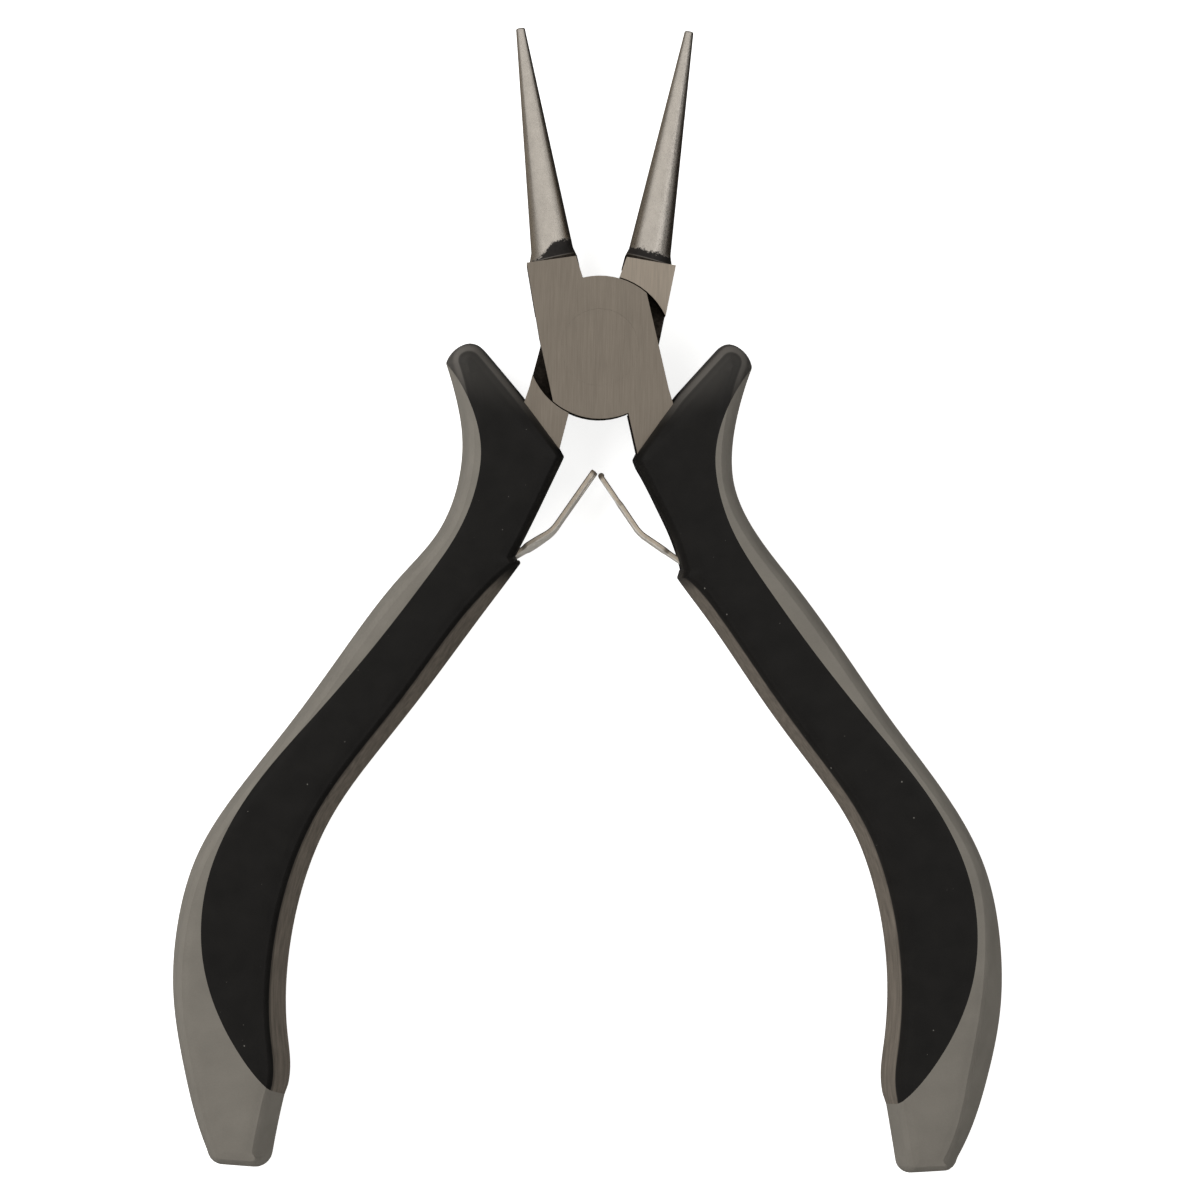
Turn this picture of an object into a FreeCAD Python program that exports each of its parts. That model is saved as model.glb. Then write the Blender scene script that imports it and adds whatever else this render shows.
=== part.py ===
import FreeCAD, Part
import math
import os

# Round nose pliers: two identical steel halves on a flush rivet, a double leaf spring, two-colour grips.
# Millimetres. The tool lies flat: Z is the rivet's axis, +Y points to the jaws, and the origin is on the
# rivet's axis at mid thickness. Each half is drawn with the tool closed, then swung out to its rest angle.

# ---- driving dimensions -------------------------------------------------------------------------------
half_open_deg = 14.0            # each half's swing from closed to the relaxed rest position

plate_thickness = 4.0           # one half's lap plate; the joint is twice this
lap_gap = 0.01                  # oil film between the two lap faces, per half
plate_half_width = 6.5
disc_radius = 8.05              # round ends of the lap plate
recess_radius = 8.17            # hollow in the other half that the disc turns in

rivet_radius = 3.0
rivet_head_radius = 4.3
rivet_head_depth = 1.3
running_clearance = 0.03        # radial, rivet in the front half

jaw_tip_radius = 0.52
jaw_root_radius = 2.48
jaw_root = (-2.80, 10.85)       # cone axis at the shoulder
jaw_tip = (-0.55, 37.30)        # cone axis at the tip
jaw_tip_round = 0.2
root_flare_radius = 3.0         # unground slope between shoulder and cone
root_flare_height = 1.2

tang_thickness = 5.0            # inside the grip
tang_step_y = -14.5             # the full joint thickness ends here, under the grip

leaf_thickness = 0.55
leaf_half_width = 1.8
foot_half_width = 1.2           # narrowed foot that sits in the tang
tongue_half_width = 0.6         # narrowed end of the right leaf
fork_half_gap = 0.85            # open slot in the left leaf's end that the tongue slides in
bend_radius = 2.2               # inner radius of the leaf's bend
leaf_hinge = (12.13, -25.63)    # right leaf's foot end at rest, where its bending is centred
leaf_bend = (4.94, -20.85)
fork_end = (0.26, -13.92)       # end of the left leaf, drawn as a right one
tongue_end = (0.36, -14.36)     # end of the right leaf
tongue_roll_radius = 0.34       # the tongue's end is rolled over
foot_length = 4.7               # of the narrowed foot, from the foot end
fork_length = 3.4
tongue_length = 3.3
slot_clearance = 0.06           # around the leaf foot
leaf_swing_in = 17.5            # free swing of the foot in its slot, towards the handle
leaf_swing_out = 4.5            # and away from it

grip_half_thickness = 6.0
grip_crease_height = 4.7        # the side faces lean in up to here, then roll onto the flat face
grip_side_lean = 0.75
grip_face_inset = 1.45
groove_half_width = 2.1         # spring groove in the inner side of each grip
groove_depth = 1.0


def vec(x, y, z=0.0):
    return FreeCAD.Vector(x, y, z)


def line(start, end, z=0.0):
    return Part.makeLine(vec(*start, z), vec(*end, z))


def arc(start, middle, end, z=0.0):
    return Part.Arc(vec(*start, z), vec(*middle, z), vec(*end, z)).toShape()


def smooth(points, z=0.0):
    """One edge through the points: a line through two, a spline through more."""
    if len(points) == 2:
        return line(points[0], points[1], z)
    curve = Part.BSplineCurve()
    curve.interpolate([vec(x, y, z) for x, y in points])
    return curve.toShape()


def slab(edges, low, high):
    """The closed flat outline in the plane z = 0, filled from low to high."""
    face = Part.Face(Part.Wire(edges))
    face.translate(vec(0, 0, low))
    return face.extrude(vec(0, 0, high - low))


def polygon_slab(points, low, high):
    return slab([line(a, b) for a, b in zip(points, points[1:] + points[:1])], low, high)


def on_disc(x, sign):
    return (x, sign * math.sqrt(disc_radius**2 - x**2))


def on_circle(radius, degrees):
    angle = math.radians(degrees)
    return (radius * math.cos(angle), radius * math.sin(angle))


def swing_open(shape):
    """Turn a front-half shape from the closed position to the rest position."""
    opened = shape.copy()
    opened.rotate(vec(0, 0), vec(0, 0, 1), half_open_deg)
    return opened


def turn_over(shape):
    """The rear half is the front half turned over about Y."""
    turned = shape.copy()
    turned.rotate(vec(0, 0), vec(0, 1, 0), 180)
    return turned


# ---- steel --------------------------------------------------------------------------------------------
step_top = on_disc(-0.1, 1)              # inner corner where the disc meets the jaw shoulder
step_bottom = on_disc(1.45, -1)          # inner corner where the disc meets the tang
shoulder_inner = (-0.30, 10.60)
shoulder_outer = (-5.88, 11.10)
side_middle = (-6.40, 2.50)
tang_outer = [(plate_half_width, -6.3), (7.0, -12.5), (9.4, -25.0), (14.3, -38.0), (21.4, -55.0),
              (25.0, -68.0), (23.8, -80.0)]
tang_inner = [(20.0, -80.0), (20.4, -68.0), (17.0, -56.0), (10.3, -41.0), (4.5, -27.0), (3.1, -20.0),
              (2.25, -16.0), (1.58, -14.0), (1.42, -12.8)]


def half_outline():
    """Outline of one closed half, seen from the front: lap disc, left shoulder and right tang."""
    disc_right = on_disc(plate_half_width, 1)
    disc_left = on_disc(-plate_half_width, -1)
    return [
        arc(step_top, on_circle(disc_radius, 65), disc_right),
        line(disc_right, tang_outer[0]),
        smooth(tang_outer),
        arc(tang_outer[-1], (21.8, -82.0), tang_inner[0]),
        smooth(tang_inner),
        line(tang_inner[-1], step_bottom),
        arc(step_bottom, on_circle(disc_radius, 245), disc_left),
        line(disc_left, side_middle),
        line(side_middle, shoulder_outer),
        line(shoulder_outer, shoulder_inner),
        line(shoulder_inner, step_top),
    ]


def jaw_cone():
    """The round jaw, its rounded tip and the unground flare at its root."""
    root = vec(*jaw_root)
    along = vec(*jaw_tip) - root
    length = along.Length
    inside = 4.0
    tip_flat = jaw_tip_radius - jaw_tip_round
    slope = (jaw_root_radius - jaw_tip_radius) / length
    flare_top = jaw_root_radius - slope * root_flare_height
    start_radius = jaw_root_radius - 0.4
    profile = Part.Wire([
        Part.makeLine(vec(0, -inside), vec(start_radius, -inside)),
        Part.makeLine(vec(start_radius, -inside), vec(root_flare_radius, -0.6)),
        Part.Arc(vec(root_flare_radius, -0.6), vec(jaw_root_radius + 0.16, 0.4),
                 vec(flare_top, root_flare_height)).toShape(),
        Part.makeLine(vec(flare_top, root_flare_height), vec(jaw_tip_radius, length - jaw_tip_round)),
        Part.Arc(vec(jaw_tip_radius, length - jaw_tip_round),
                 vec(jaw_tip_radius - 0.3 * jaw_tip_round, length - 0.3 * jaw_tip_round),
                 vec(tip_flat, length)).toShape(),
        Part.makeLine(vec(tip_flat, length), vec(0, length)),
        Part.makeLine(vec(0, length), vec(0, -inside)),
    ])
    cone = Part.Face(profile).revolve(vec(0, 0), vec(0, 1, 0), 360)
    lean = math.degrees(math.atan2(-along.x, along.y))
    cone.rotate(vec(0, 0), vec(0, 0, 1), lean)
    cone.translate(root)
    limits = polygon_slab([(-5.88, 5.0), (-0.12, 5.0), (0.0, 40.0), (-5.88, 40.0)],
                          -plate_thickness, plate_thickness)
    return cone.common(limits)


def recess():
    """Room for the other half's lap plate, behind the front plate."""
    depth = plate_thickness + 1.0
    return Part.makeCylinder(recess_radius, depth + lap_gap, vec(0, 0, -depth))


def outline_block():
    """The whole outline at joint thickness, with the tang thinned where the grip covers it."""
    block = slab(half_outline(), -plate_thickness, plate_thickness)
    relief_height = plate_thickness - tang_thickness / 2 + 1.0
    for low in (-plate_thickness - 1.0, tang_thickness / 2):
        block = block.cut(Part.makeBox(60, 90, relief_height, vec(-20, tang_step_y - 90, low)))
    return block


def half_blank():
    """One closed half without its rivet hole."""
    blank = outline_block().fuse(jaw_cone()).cut(recess())
    return blank.cut(foot_slot(foot_half_width + 0.12, 6.0)).removeSplitter()


def countersunk(radius, head_radius, head_depth, extra):
    """A rivet shape from the lap plane out through the front plate, larger all round by extra."""
    face = plate_thickness
    shank = Part.makeCylinder(radius + extra, face, vec(0, 0, 0))
    head = Part.makeCone(radius + extra, head_radius + extra, head_depth, vec(0, 0, face - head_depth))
    return shank.fuse(head)


def rivet():
    """Shank with a head closed into the countersink of each half, both ground flush."""
    front = countersunk(rivet_radius, rivet_head_radius, rivet_head_depth, 0.0)
    rear = turn_over(front)
    return front.fuse(rear).removeSplitter()


def front_half():
    hole = countersunk(rivet_radius, rivet_head_radius, rivet_head_depth, running_clearance)
    return swing_open(half_blank().cut(hole))


def rear_half():
    hole = countersunk(rivet_radius, rivet_head_radius, rivet_head_depth, 0.0)
    return turn_over(swing_open(half_blank().cut(hole)))


# ---- double leaf spring -------------------------------------------------------------------------------
def to_closed(point):
    """A point of the right handle at rest, moved to where it is with the tool closed."""
    angle = math.radians(-half_open_deg)
    x, y = point
    return (x * math.cos(angle) - y * math.sin(angle), x * math.sin(angle) + y * math.cos(angle))


def unit(start, end):
    dx = end[0] - start[0]
    dy = end[1] - start[1]
    length = math.hypot(dx, dy)
    return (dx / length, dy / length)


def step_from(point, direction, along, across=0.0):
    """Move along a direction, and across it to its left."""
    return (point[0] + direction[0] * along - direction[1] * across,
            point[1] + direction[1] * along + direction[0] * across)


def foot_slot(half_width, reach):
    """Wedge slot for a leaf foot, round at the foot end, in the right handle's closed place."""
    centre = to_closed(leaf_hinge)
    direction = unit(leaf_hinge, leaf_bend)
    heading = math.degrees(math.atan2(direction[1], direction[0])) - half_open_deg
    radius = leaf_thickness / 2 + slot_clearance
    inward = math.radians(heading - leaf_swing_in)
    outward = math.radians(heading + leaf_swing_out)
    along_in = (math.cos(inward), math.sin(inward))
    along_out = (math.cos(outward), math.sin(outward))
    wedge = polygon_slab([
        step_from(centre, along_in, 0.0, -radius),
        step_from(centre, along_in, reach, -radius),
        step_from(centre, along_out, reach, radius),
        step_from(centre, along_out, 0.0, radius),
    ], -half_width, half_width)
    end = Part.makeCylinder(radius, 2 * half_width, vec(*centre, -half_width))
    return wedge.fuse(end)


def strip(start, bend, end, half_width):
    """A strip bent once, round at its start and square at its end, for the right handle at rest."""
    first = unit(start, bend)
    second = unit(bend, end)
    turn = math.atan2(first[0] * second[1] - first[1] * second[0],
                      first[0] * second[0] + first[1] * second[1])
    half = leaf_thickness / 2
    edges = []
    middle_radius = bend_radius + half
    tangent = middle_radius * math.tan(abs(turn) / 2)
    side = math.copysign(1.0, turn)
    before = step_from(bend, first, -tangent)
    after = step_from(bend, second, tangent)
    centre = step_from(before, first, 0.0, side * middle_radius)
    toward = unit(centre, bend)
    outer = middle_radius + side * half
    inner = middle_radius - side * half
    left = [step_from(start, first, 0.0, half), step_from(before, first, 0.0, half),
            step_from(centre, toward, inner), step_from(after, second, 0.0, half),
            step_from(end, second, 0.0, half)]
    right = [step_from(start, first, 0.0, -half), step_from(before, first, 0.0, -half),
             step_from(centre, toward, outer), step_from(after, second, 0.0, -half),
             step_from(end, second, 0.0, -half)]
    edges.append(line(left[0], left[1]))
    edges.append(arc(left[1], left[2], left[3]))
    edges.append(line(left[3], left[4]))
    edges.append(line(left[4], right[4]))
    edges.append(line(right[4], right[3]))
    edges.append(arc(right[3], right[2], right[1]))
    edges.append(line(right[1], right[0]))
    edges.append(arc(right[0], step_from(start, first, -half), left[0]))
    return slab(edges, -half_width, half_width)


def narrowed(shape, centre, direction, low, high, keep_half_width):
    """Cut both edges of a strip back to keep_half_width over a stretch of its length."""
    side_cut = leaf_half_width - keep_half_width + 1.0
    for z in (keep_half_width, -keep_half_width - side_cut):
        block = polygon_slab([
            step_from(centre, direction, low, -1.5),
            step_from(centre, direction, high, -1.5),
            step_from(centre, direction, high, 1.5),
            step_from(centre, direction, low, 1.5),
        ], z, z + side_cut)
        shape = shape.cut(block)
    return shape


def right_spring_leaf():
    """Ends in a narrow tongue with a rolled tip."""
    leaf = strip(leaf_hinge, leaf_bend, tongue_end, leaf_half_width)
    foot = unit(leaf_hinge, leaf_bend)
    tail = unit(tongue_end, leaf_bend)
    leaf = narrowed(leaf, leaf_hinge, foot, -1.0, foot_length, foot_half_width)
    leaf = narrowed(leaf, tongue_end, tail, -1.0, tongue_length, tongue_half_width)
    roll_centre = step_from(tongue_end, tail, 0.1, tongue_roll_radius - leaf_thickness / 2)
    roll = Part.makeCylinder(tongue_roll_radius, 2 * tongue_half_width,
                             vec(*roll_centre, -tongue_half_width))
    return leaf.fuse(roll).removeSplitter()


def left_spring_leaf():
    """Ends in a fork. Drawn as a right leaf, then turned over to the left handle."""
    leaf = strip(leaf_hinge, leaf_bend, fork_end, leaf_half_width)
    foot = unit(leaf_hinge, leaf_bend)
    tail = unit(fork_end, leaf_bend)
    leaf = narrowed(leaf, leaf_hinge, foot, -1.0, foot_length, foot_half_width)
    fork_gap = polygon_slab([
        step_from(fork_end, tail, -1.0, -1.5),
        step_from(fork_end, tail, fork_length, -1.5),
        step_from(fork_end, tail, fork_length, 1.5),
        step_from(fork_end, tail, -1.0, 1.5),
    ], -fork_half_gap, fork_half_gap)
    return turn_over(leaf.cut(fork_gap))


# ---- grips, drawn closed for the right handle ---------------------------------------------------------
grip_sides = {
    "top": [(6.9, -7.5), (12.7, -3.75)],
    "horn": [(12.7, -3.75), (14.6, -3.2), (15.8, -4.3), (16.35, -6.1)],
    "outer": [(16.35, -6.1), (14.2, -9.75), (12.45, -13.8), (11.45, -18.3), (12.5, -24.8),
              (15.2, -30.6), (19.05, -39.8), (22.65, -48.9), (26.6, -58.2), (29.2, -67.0),
              (29.35, -75.3), (27.7, -83.2), (24.55, -90.6), (21.0, -97.0), (19.3, -99.2)],
    "end_outer": [(19.3, -99.2), (18.6, -100.0), (17.6, -100.35)],
    "end": [(17.6, -100.35), (13.6, -99.75)],
    "end_inner": [(13.6, -99.75), (12.4, -99.1), (11.9, -97.8)],
    "tail": [(11.9, -97.8), (12.25, -94.8), (12.43, -90.9)],
    "pad_end": [(12.43, -90.9), (12.2, -89.6)],
    "pad": [(12.2, -89.6), (12.65, -87.6), (13.95, -83.9), (15.98, -76.1), (16.55, -66.0),
            (15.65, -59.6), (12.2, -50.4), (9.2, -43.5), (4.75, -32.1), (3.35, -28.6), (2.6, -26.0)],
    "pad_step": [(2.6, -26.0), (3.15, -25.3)],
    "neck": [(3.15, -25.3), (2.73, -22.3), (2.1, -19.1), (1.3, -15.8), (0.85, -14.2)],
    "lip": [(0.85, -14.2), (0.72, -13.1)],
    "lip_top": [(0.72, -13.1), (1.55, -12.35)],
    "collar": [(1.55, -12.35), (6.9, -7.5)],
}
# the black shot's edge on the grey spine, from the horn's corner to the pad's end
colour_edge = [(16.35, -6.1), (14.36, -7.7), (11.55, -11.1), (9.85, -14.8), (9.4, -17.8), (10.0, -24.1),
               (11.95, -29.8), (15.8, -39.0), (20.25, -48.3), (24.7, -57.7), (27.0, -68.6),
               (25.0, -78.4), (18.5, -87.1), (13.5, -90.5), (12.43, -90.9)]


def inset_loop(points, distance):
    """Move each corner of a closed clockwise outline inwards by the same distance."""
    moved = []
    count = len(points)
    for i, here in enumerate(points):
        before = unit(points[i - 1], here)
        after = unit(here, points[(i + 1) % count])
        inward = (before[1] + after[1], -before[0] - after[0])
        scale = distance * 2 / (inward[0] ** 2 + inward[1] ** 2)
        scale = min(scale, 0.75 * distance)
        moved.append((here[0] + inward[0] * scale, here[1] + inward[1] * scale))
    return moved


def grip_section(distance, height):
    """The grip's outline at one height, inset from the silhouette."""
    sides = list(grip_sides.values())
    loop = [point for side in sides for point in side[:-1]]
    moved = inset_loop(loop, distance)
    edges = []
    index = 0
    for side in sides:
        stop = index + len(side) - 1
        points = [moved[k % len(moved)] for k in range(index, stop + 1)]
        edges.append(smooth(points, height))
        index = stop
    return Part.Wire(edges)


def whole_grip():
    """Widest at mid thickness, leaning in to a crease, then rolling onto flat faces."""
    levels = [(grip_face_inset, -grip_half_thickness), (grip_side_lean, -grip_crease_height), (0.0, 0.0),
              (grip_side_lean, grip_crease_height), (grip_face_inset, grip_half_thickness)]
    sections = [grip_section(distance, height) for distance, height in levels]
    return Part.makeLoft(sections, True, True)


def black_region():
    """Everything on the inner side of the colour edge."""
    height = grip_half_thickness + 1.0
    far = [(10.0, -90.9), (-4.0, -90.9), (-4.0, 1.0), (19.0, 1.0), (19.0, -5.4), (16.35, -6.1)]
    edges = [smooth(colour_edge), line(colour_edge[-1], far[0])]
    edges += [line(a, b) for a, b in zip(far, far[1:])]
    return slab(edges, -height, height)


def spring_groove():
    """Room for the leaves along the inner side, from the foot slot up to the lip."""
    floor = [(x + groove_depth, y) for x, y in grip_sides["neck"]]
    floor[-1] = (floor[-1][0], -12.0)
    outline = floor + [(-3.0, -12.0), (-3.0, floor[0][1])]
    return polygon_slab(outline, -groove_half_width, groove_half_width)


def grip_insert():
    """Black soft shot: inner side, front and rear faces, horn, and the groove for the spring."""
    shape = whole_grip().common(black_region()).cut(outline_block())
    return shape.cut(spring_groove()).cut(foot_slot(groove_half_width, 7.0))


def grip_body():
    """Grey spine and end cap."""
    return whole_grip().cut(black_region()).cut(outline_block())


# ---- write every piece --------------------------------------------------------------------------------
def pieces():
    right_insert = swing_open(grip_insert())
    right_body = swing_open(grip_body())
    return {
        "front_half": front_half(),
        "rear_half": rear_half(),
        "pivot_rivet": rivet(),
        "left_spring_leaf": left_spring_leaf(),
        "right_spring_leaf": right_spring_leaf(),
        "left_grip_body": turn_over(right_body),
        "left_grip_insert": turn_over(right_insert),
        "right_grip_body": right_body,
        "right_grip_insert": right_insert,
    }


os.makedirs("parts", exist_ok=True)
for name, shape in pieces().items():
    if shape.ShapeType == "Compound" and len(shape.Solids) == 1:
        shape = shape.Solids[0]
    shape.exportStep(f"parts/{name}.step")
    print(f"{name}: {len(shape.Solids)} solid, {shape.Volume:.2f} mm3, valid {shape.isValid()}")
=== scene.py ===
import math

import bmesh
import bpy
import numpy as np
from mathutils import Matrix, Vector
from mathutils.geometry import delaunay_2d_cdt


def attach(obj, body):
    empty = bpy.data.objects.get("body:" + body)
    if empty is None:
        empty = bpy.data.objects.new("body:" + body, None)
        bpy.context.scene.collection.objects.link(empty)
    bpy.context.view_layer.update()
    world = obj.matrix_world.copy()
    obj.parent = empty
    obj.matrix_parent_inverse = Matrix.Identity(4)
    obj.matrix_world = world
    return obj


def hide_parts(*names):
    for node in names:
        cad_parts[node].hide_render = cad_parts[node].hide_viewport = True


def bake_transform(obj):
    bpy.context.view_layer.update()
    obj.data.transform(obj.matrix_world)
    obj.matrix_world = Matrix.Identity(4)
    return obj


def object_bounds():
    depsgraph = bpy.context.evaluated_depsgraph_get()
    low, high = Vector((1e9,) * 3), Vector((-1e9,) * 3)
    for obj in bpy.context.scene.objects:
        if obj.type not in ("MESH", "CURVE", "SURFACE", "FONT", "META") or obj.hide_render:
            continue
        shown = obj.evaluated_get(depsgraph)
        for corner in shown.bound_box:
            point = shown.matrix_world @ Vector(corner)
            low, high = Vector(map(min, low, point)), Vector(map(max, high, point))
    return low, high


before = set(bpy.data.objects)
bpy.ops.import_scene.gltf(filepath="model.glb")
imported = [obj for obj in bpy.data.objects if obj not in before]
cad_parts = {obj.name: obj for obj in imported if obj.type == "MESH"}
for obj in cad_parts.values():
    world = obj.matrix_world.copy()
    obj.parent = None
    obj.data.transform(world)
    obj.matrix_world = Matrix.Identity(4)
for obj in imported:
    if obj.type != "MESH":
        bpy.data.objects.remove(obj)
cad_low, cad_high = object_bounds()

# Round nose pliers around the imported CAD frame. Lengths are millimetres, except in the last section, where
# they are metres, and where a name ends in _M.
# Each half and grip is drawn closed, as the right handle, then swung open and, for the left, turned over.
MM = 0.001
HALF_OPEN = math.radians(14.0)

# ---- grip outlines --------------------------------------------------------------------------------------
# The sides of each grip, clockwise from the collar's outer corner. The two mouldings aren't quite alike.
GRIP_SIDES = {
    "right": {
        "top": [(7.0, -7.25), (12.7, -3.3)],
        "horn": [(12.7, -3.3), (14.6, -2.85), (15.9, -4.0), (16.4, -6.0)],
        "outer": [(16.4, -6.0), (14.1, -9.85), (12.35, -13.85), (11.46, -18.3), (12.77, -24.7),
                  (15.38, -30.5), (19.31, -39.7), (22.95, -48.8), (26.97, -58.1), (29.44, -67.0),
                  (29.35, -75.3), (27.65, -83.15), (24.45, -90.5), (20.62, -96.8), (18.95, -98.8)],
        "end_outer": [(18.95, -98.8), (18.4, -99.55), (17.5, -99.9)],
        "end": [(17.5, -99.9), (13.7, -99.25)],
        "end_inner": [(13.7, -99.25), (12.65, -98.8), (12.05, -97.7)],
        "tail": [(12.05, -97.7), (12.25, -94.8), (12.48, -90.9)],
        "pad_end": [(12.48, -90.9), (12.35, -89.65)],
        "pad": [(12.35, -89.65), (12.6, -87.6), (13.82, -83.95), (15.96, -76.1), (16.64, -66.0),
                (15.8, -59.65), (12.28, -50.45), (9.3, -43.55), (4.83, -32.15), (3.4, -28.9), (2.72, -27.3)],
        "pad_step": [(2.72, -27.3), (3.18, -26.5)],
        "neck": [(3.18, -26.5), (2.8, -22.3), (2.1, -19.1), (1.3, -15.8), (0.82, -14.2)],
        "lip": [(0.82, -14.2), (0.66, -13.1)],
        "lip_top": [(0.66, -13.1), (1.42, -12.25)],
        "collar": [(1.42, -12.25), (7.0, -7.25)],
    },
    "left": {
        "top": [(6.9, -7.5), (12.6, -3.5)],
        "horn": [(12.6, -3.5), (14.4, -3.25), (15.7, -4.3), (16.35, -6.1)],
        "outer": [(16.35, -6.1), (14.13, -9.8), (12.38, -13.8), (11.56, -18.3), (12.3, -24.85),
                  (15.05, -30.65), (18.91, -39.85), (22.42, -49.0), (26.38, -58.3), (29.14, -67.0),
                  (29.31, -75.3), (27.7, -83.2), (24.55, -90.6), (21.03, -97.0), (19.42, -99.3)],
        "end_outer": [(19.42, -99.3), (18.72, -100.15), (17.6, -100.45)],
        "end": [(17.6, -100.45), (13.6, -99.7)],
        "end_inner": [(13.6, -99.7), (12.6, -98.95), (12.2, -97.8)],
        "tail": [(12.2, -97.8), (12.44, -94.8), (12.61, -90.9)],
        "pad_end": [(12.61, -90.9), (12.5, -89.7)],
        "pad": [(12.5, -89.7), (12.8, -87.65), (14.12, -83.95), (16.13, -76.1), (16.63, -66.0), (15.7, -59.6),
                (12.38, -50.45), (9.43, -43.6), (4.87, -32.15), (3.45, -28.65), (2.3, -25.75)],
        "pad_step": [(2.3, -25.75), (2.93, -25.15)],
        "neck": [(2.93, -25.15), (2.3, -22.3), (1.66, -19.1), (1.04, -15.8), (0.7, -14.0)],
        "lip": [(0.7, -14.0), (0.5, -12.85)],
        "lip_top": [(0.5, -12.85), (1.3, -12.05)],
        "collar": [(1.3, -12.05), (6.9, -7.5)],
    },
}
# where the black shot ends on the grey spine, from the horn's corner to the pad's end
COLOUR_EDGE = [(16.35, -6.1), (14.36, -7.7), (11.55, -11.1), (9.85, -14.8), (9.4, -17.8), (10.0, -24.1),
               (11.95, -29.8), (15.8, -39.0), (20.25, -48.3), (24.7, -57.7), (27.0, -68.6), (25.0, -78.4),
               (18.5, -87.1), (13.5, -90.5), (12.43, -90.9)]
# how far the corner between a side and the next one is rounded
CORNER = {"top": 0.5, "horn": 0.25, "outer": 0.5, "end_outer": 0.3, "end": 0.4, "end_inner": 0.4,
          "tail": 0.12, "pad_end": 0.3, "pad": 0.18, "pad_step": 0.12, "neck": 0.15, "lip": 0.2,
          "lip_top": 0.12, "collar": 0.7}
CORNER_STEPS = 4
RING_STEP = 0.45                 # between the points along a side

# ---- grip section ---------------------------------------------------------------------------------------
HALF_THICK = 6.0
# (height, share of the side's lean, further inset as the side rolls onto the face)
LEVELS = [(0.0, 0.0, 0.0), (1.3, 0.277, 0.0), (2.6, 0.553, 0.0), (3.7, 0.787, 0.0), (4.4, 0.94, 0.0),
          (4.62, 0.985, 0.0), (4.74, 1.0, 0.03), (4.9, 1.0, 0.08), (5.15, 1.0, 0.18), (5.4, 1.0, 0.31),
          (5.62, 1.0, 0.46), (5.78, 1.0, 0.61), (5.86, 1.0, 0.7)]
SIDE_LEAN = 0.75                 # how far a side face leans in on its way up
# lean of the short sides, as a share of SIDE_LEAN
SHORT_LEAN = {"top": 0.4, "horn": 0.4, "collar": 0.35, "lip": 0.45, "lip_top": 0.45, "neck": 0.45,
              "pad_step": 0.45}
# what the long sides of each grip add to it where they lean most
LEAN = {"right": {"pad": 0.5, "outer": 2.1, "tail": 0.2}, "left": {"pad": 1.0, "outer": 0.0, "tail": 0.9}}
# (distance below the rivet where a change of lean starts, length it takes)
PAD_LEANS = (26.0, 8.0)
OUTER_LEANS = (64.0, 22.0)
OUTER_RECOVERS = (88.0, 12.0)
RECOVERED_SHARE = 0.55
CAP_ROWS = (0.15, 0.35, 0.6, 0.9)   # rows of points close inside a face's edge
CAP_SPACING = 0.8
CAP_RISE_REACH = 1.0
# the face falls towards its edges over a reach, by a share of its height: (elsewhere, more on the horn)
DOME_REACH = (1.9, 1.7)
DOME_DROP = (0.022, 0.15)
HORN_STARTS = (14.0, 7.0)           # distance below the rivet, and the length it takes to be all horn


def smoothstep(t):
    t = min(max(t, 0.0), 1.0)
    return t * t * (3 - 2 * t)


def below(y, place):
    """0 above a place on the handle and 1 past it; place is (distance below the rivet, length it takes)."""
    start, length = place
    return smoothstep((-y - start) / length)


def lean_factor(side, y, grip):
    """A side's lean at y, as a share of SIDE_LEAN."""
    if side in ("outer", "end_outer"):
        recovered = 1.0 - RECOVERED_SHARE * below(y, OUTER_RECOVERS)
        return 1.0 + LEAN[grip]["outer"] * below(y, OUTER_LEANS) * recovered
    if side == "pad":
        return 1.0 + LEAN[grip]["pad"] * below(y, PAD_LEANS)
    if side in ("tail", "pad_end"):
        return 1.0 + LEAN[grip]["tail"]
    return SHORT_LEAN.get(side, 1.0)


def direction(a, b):
    d = np.subtract(b, a)
    return d / np.hypot(*d)


def inset_loop(points, distances):
    """Move each corner of the closed clockwise outline inwards by its own distance."""
    moved = []
    count = len(points)
    for i, here in enumerate(points):
        before = direction(points[i - 1], here)
        after = direction(here, points[(i + 1) % count])
        inward = np.array([before[1] + after[1], -before[0] - after[0]])
        scale = distances[i] * min(2 / (inward @ inward), 0.75)
        moved.append(np.array(here) + inward * scale)
    return moved


def along(curve):
    """Distance of each point of a dense curve from its start."""
    return np.concatenate([[0], np.cumsum(np.hypot(*np.diff(curve, axis=0).T))])


def smooth_curve(points, dense=24):
    """Dense samples of a cubic curve through the points."""
    p = np.array(points, float)
    if len(p) == 2:
        t = np.linspace(0, 1, dense)[:, None]
        return p[0] * (1 - t) + p[1] * t
    n = len(p)
    h = np.diff(along(p))
    system = np.zeros((n, n))
    right = np.zeros((n, 2))
    system[0, :2] = (1, -1)
    system[-1, -2:] = (-1, 1)
    for i in range(1, n - 1):
        system[i, i - 1:i + 2] = (h[i - 1], 2 * (h[i - 1] + h[i]), h[i])
        right[i] = 6 * ((p[i + 1] - p[i]) / h[i] - (p[i] - p[i - 1]) / h[i - 1])
    bend = np.linalg.solve(system, right)
    out = []
    for i in range(n - 1):
        s = np.linspace(0, h[i], dense, endpoint=i == n - 2)[:, None]
        a, b = h[i] - s, s
        out.append((bend[i] * a**3 + bend[i + 1] * b**3) / (6 * h[i])
                   + (p[i] / h[i] - bend[i] * h[i] / 6) * a + (p[i + 1] / h[i] - bend[i + 1] * h[i] / 6) * b)
    return np.concatenate(out)


def at_shares(curve, shares):
    """Points at the given shares of a dense curve's length."""
    length = along(curve)
    where = np.array(shares) * length[-1]
    return np.stack([np.interp(where, length, curve[:, k]) for k in (0, 1)], 1)


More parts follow.
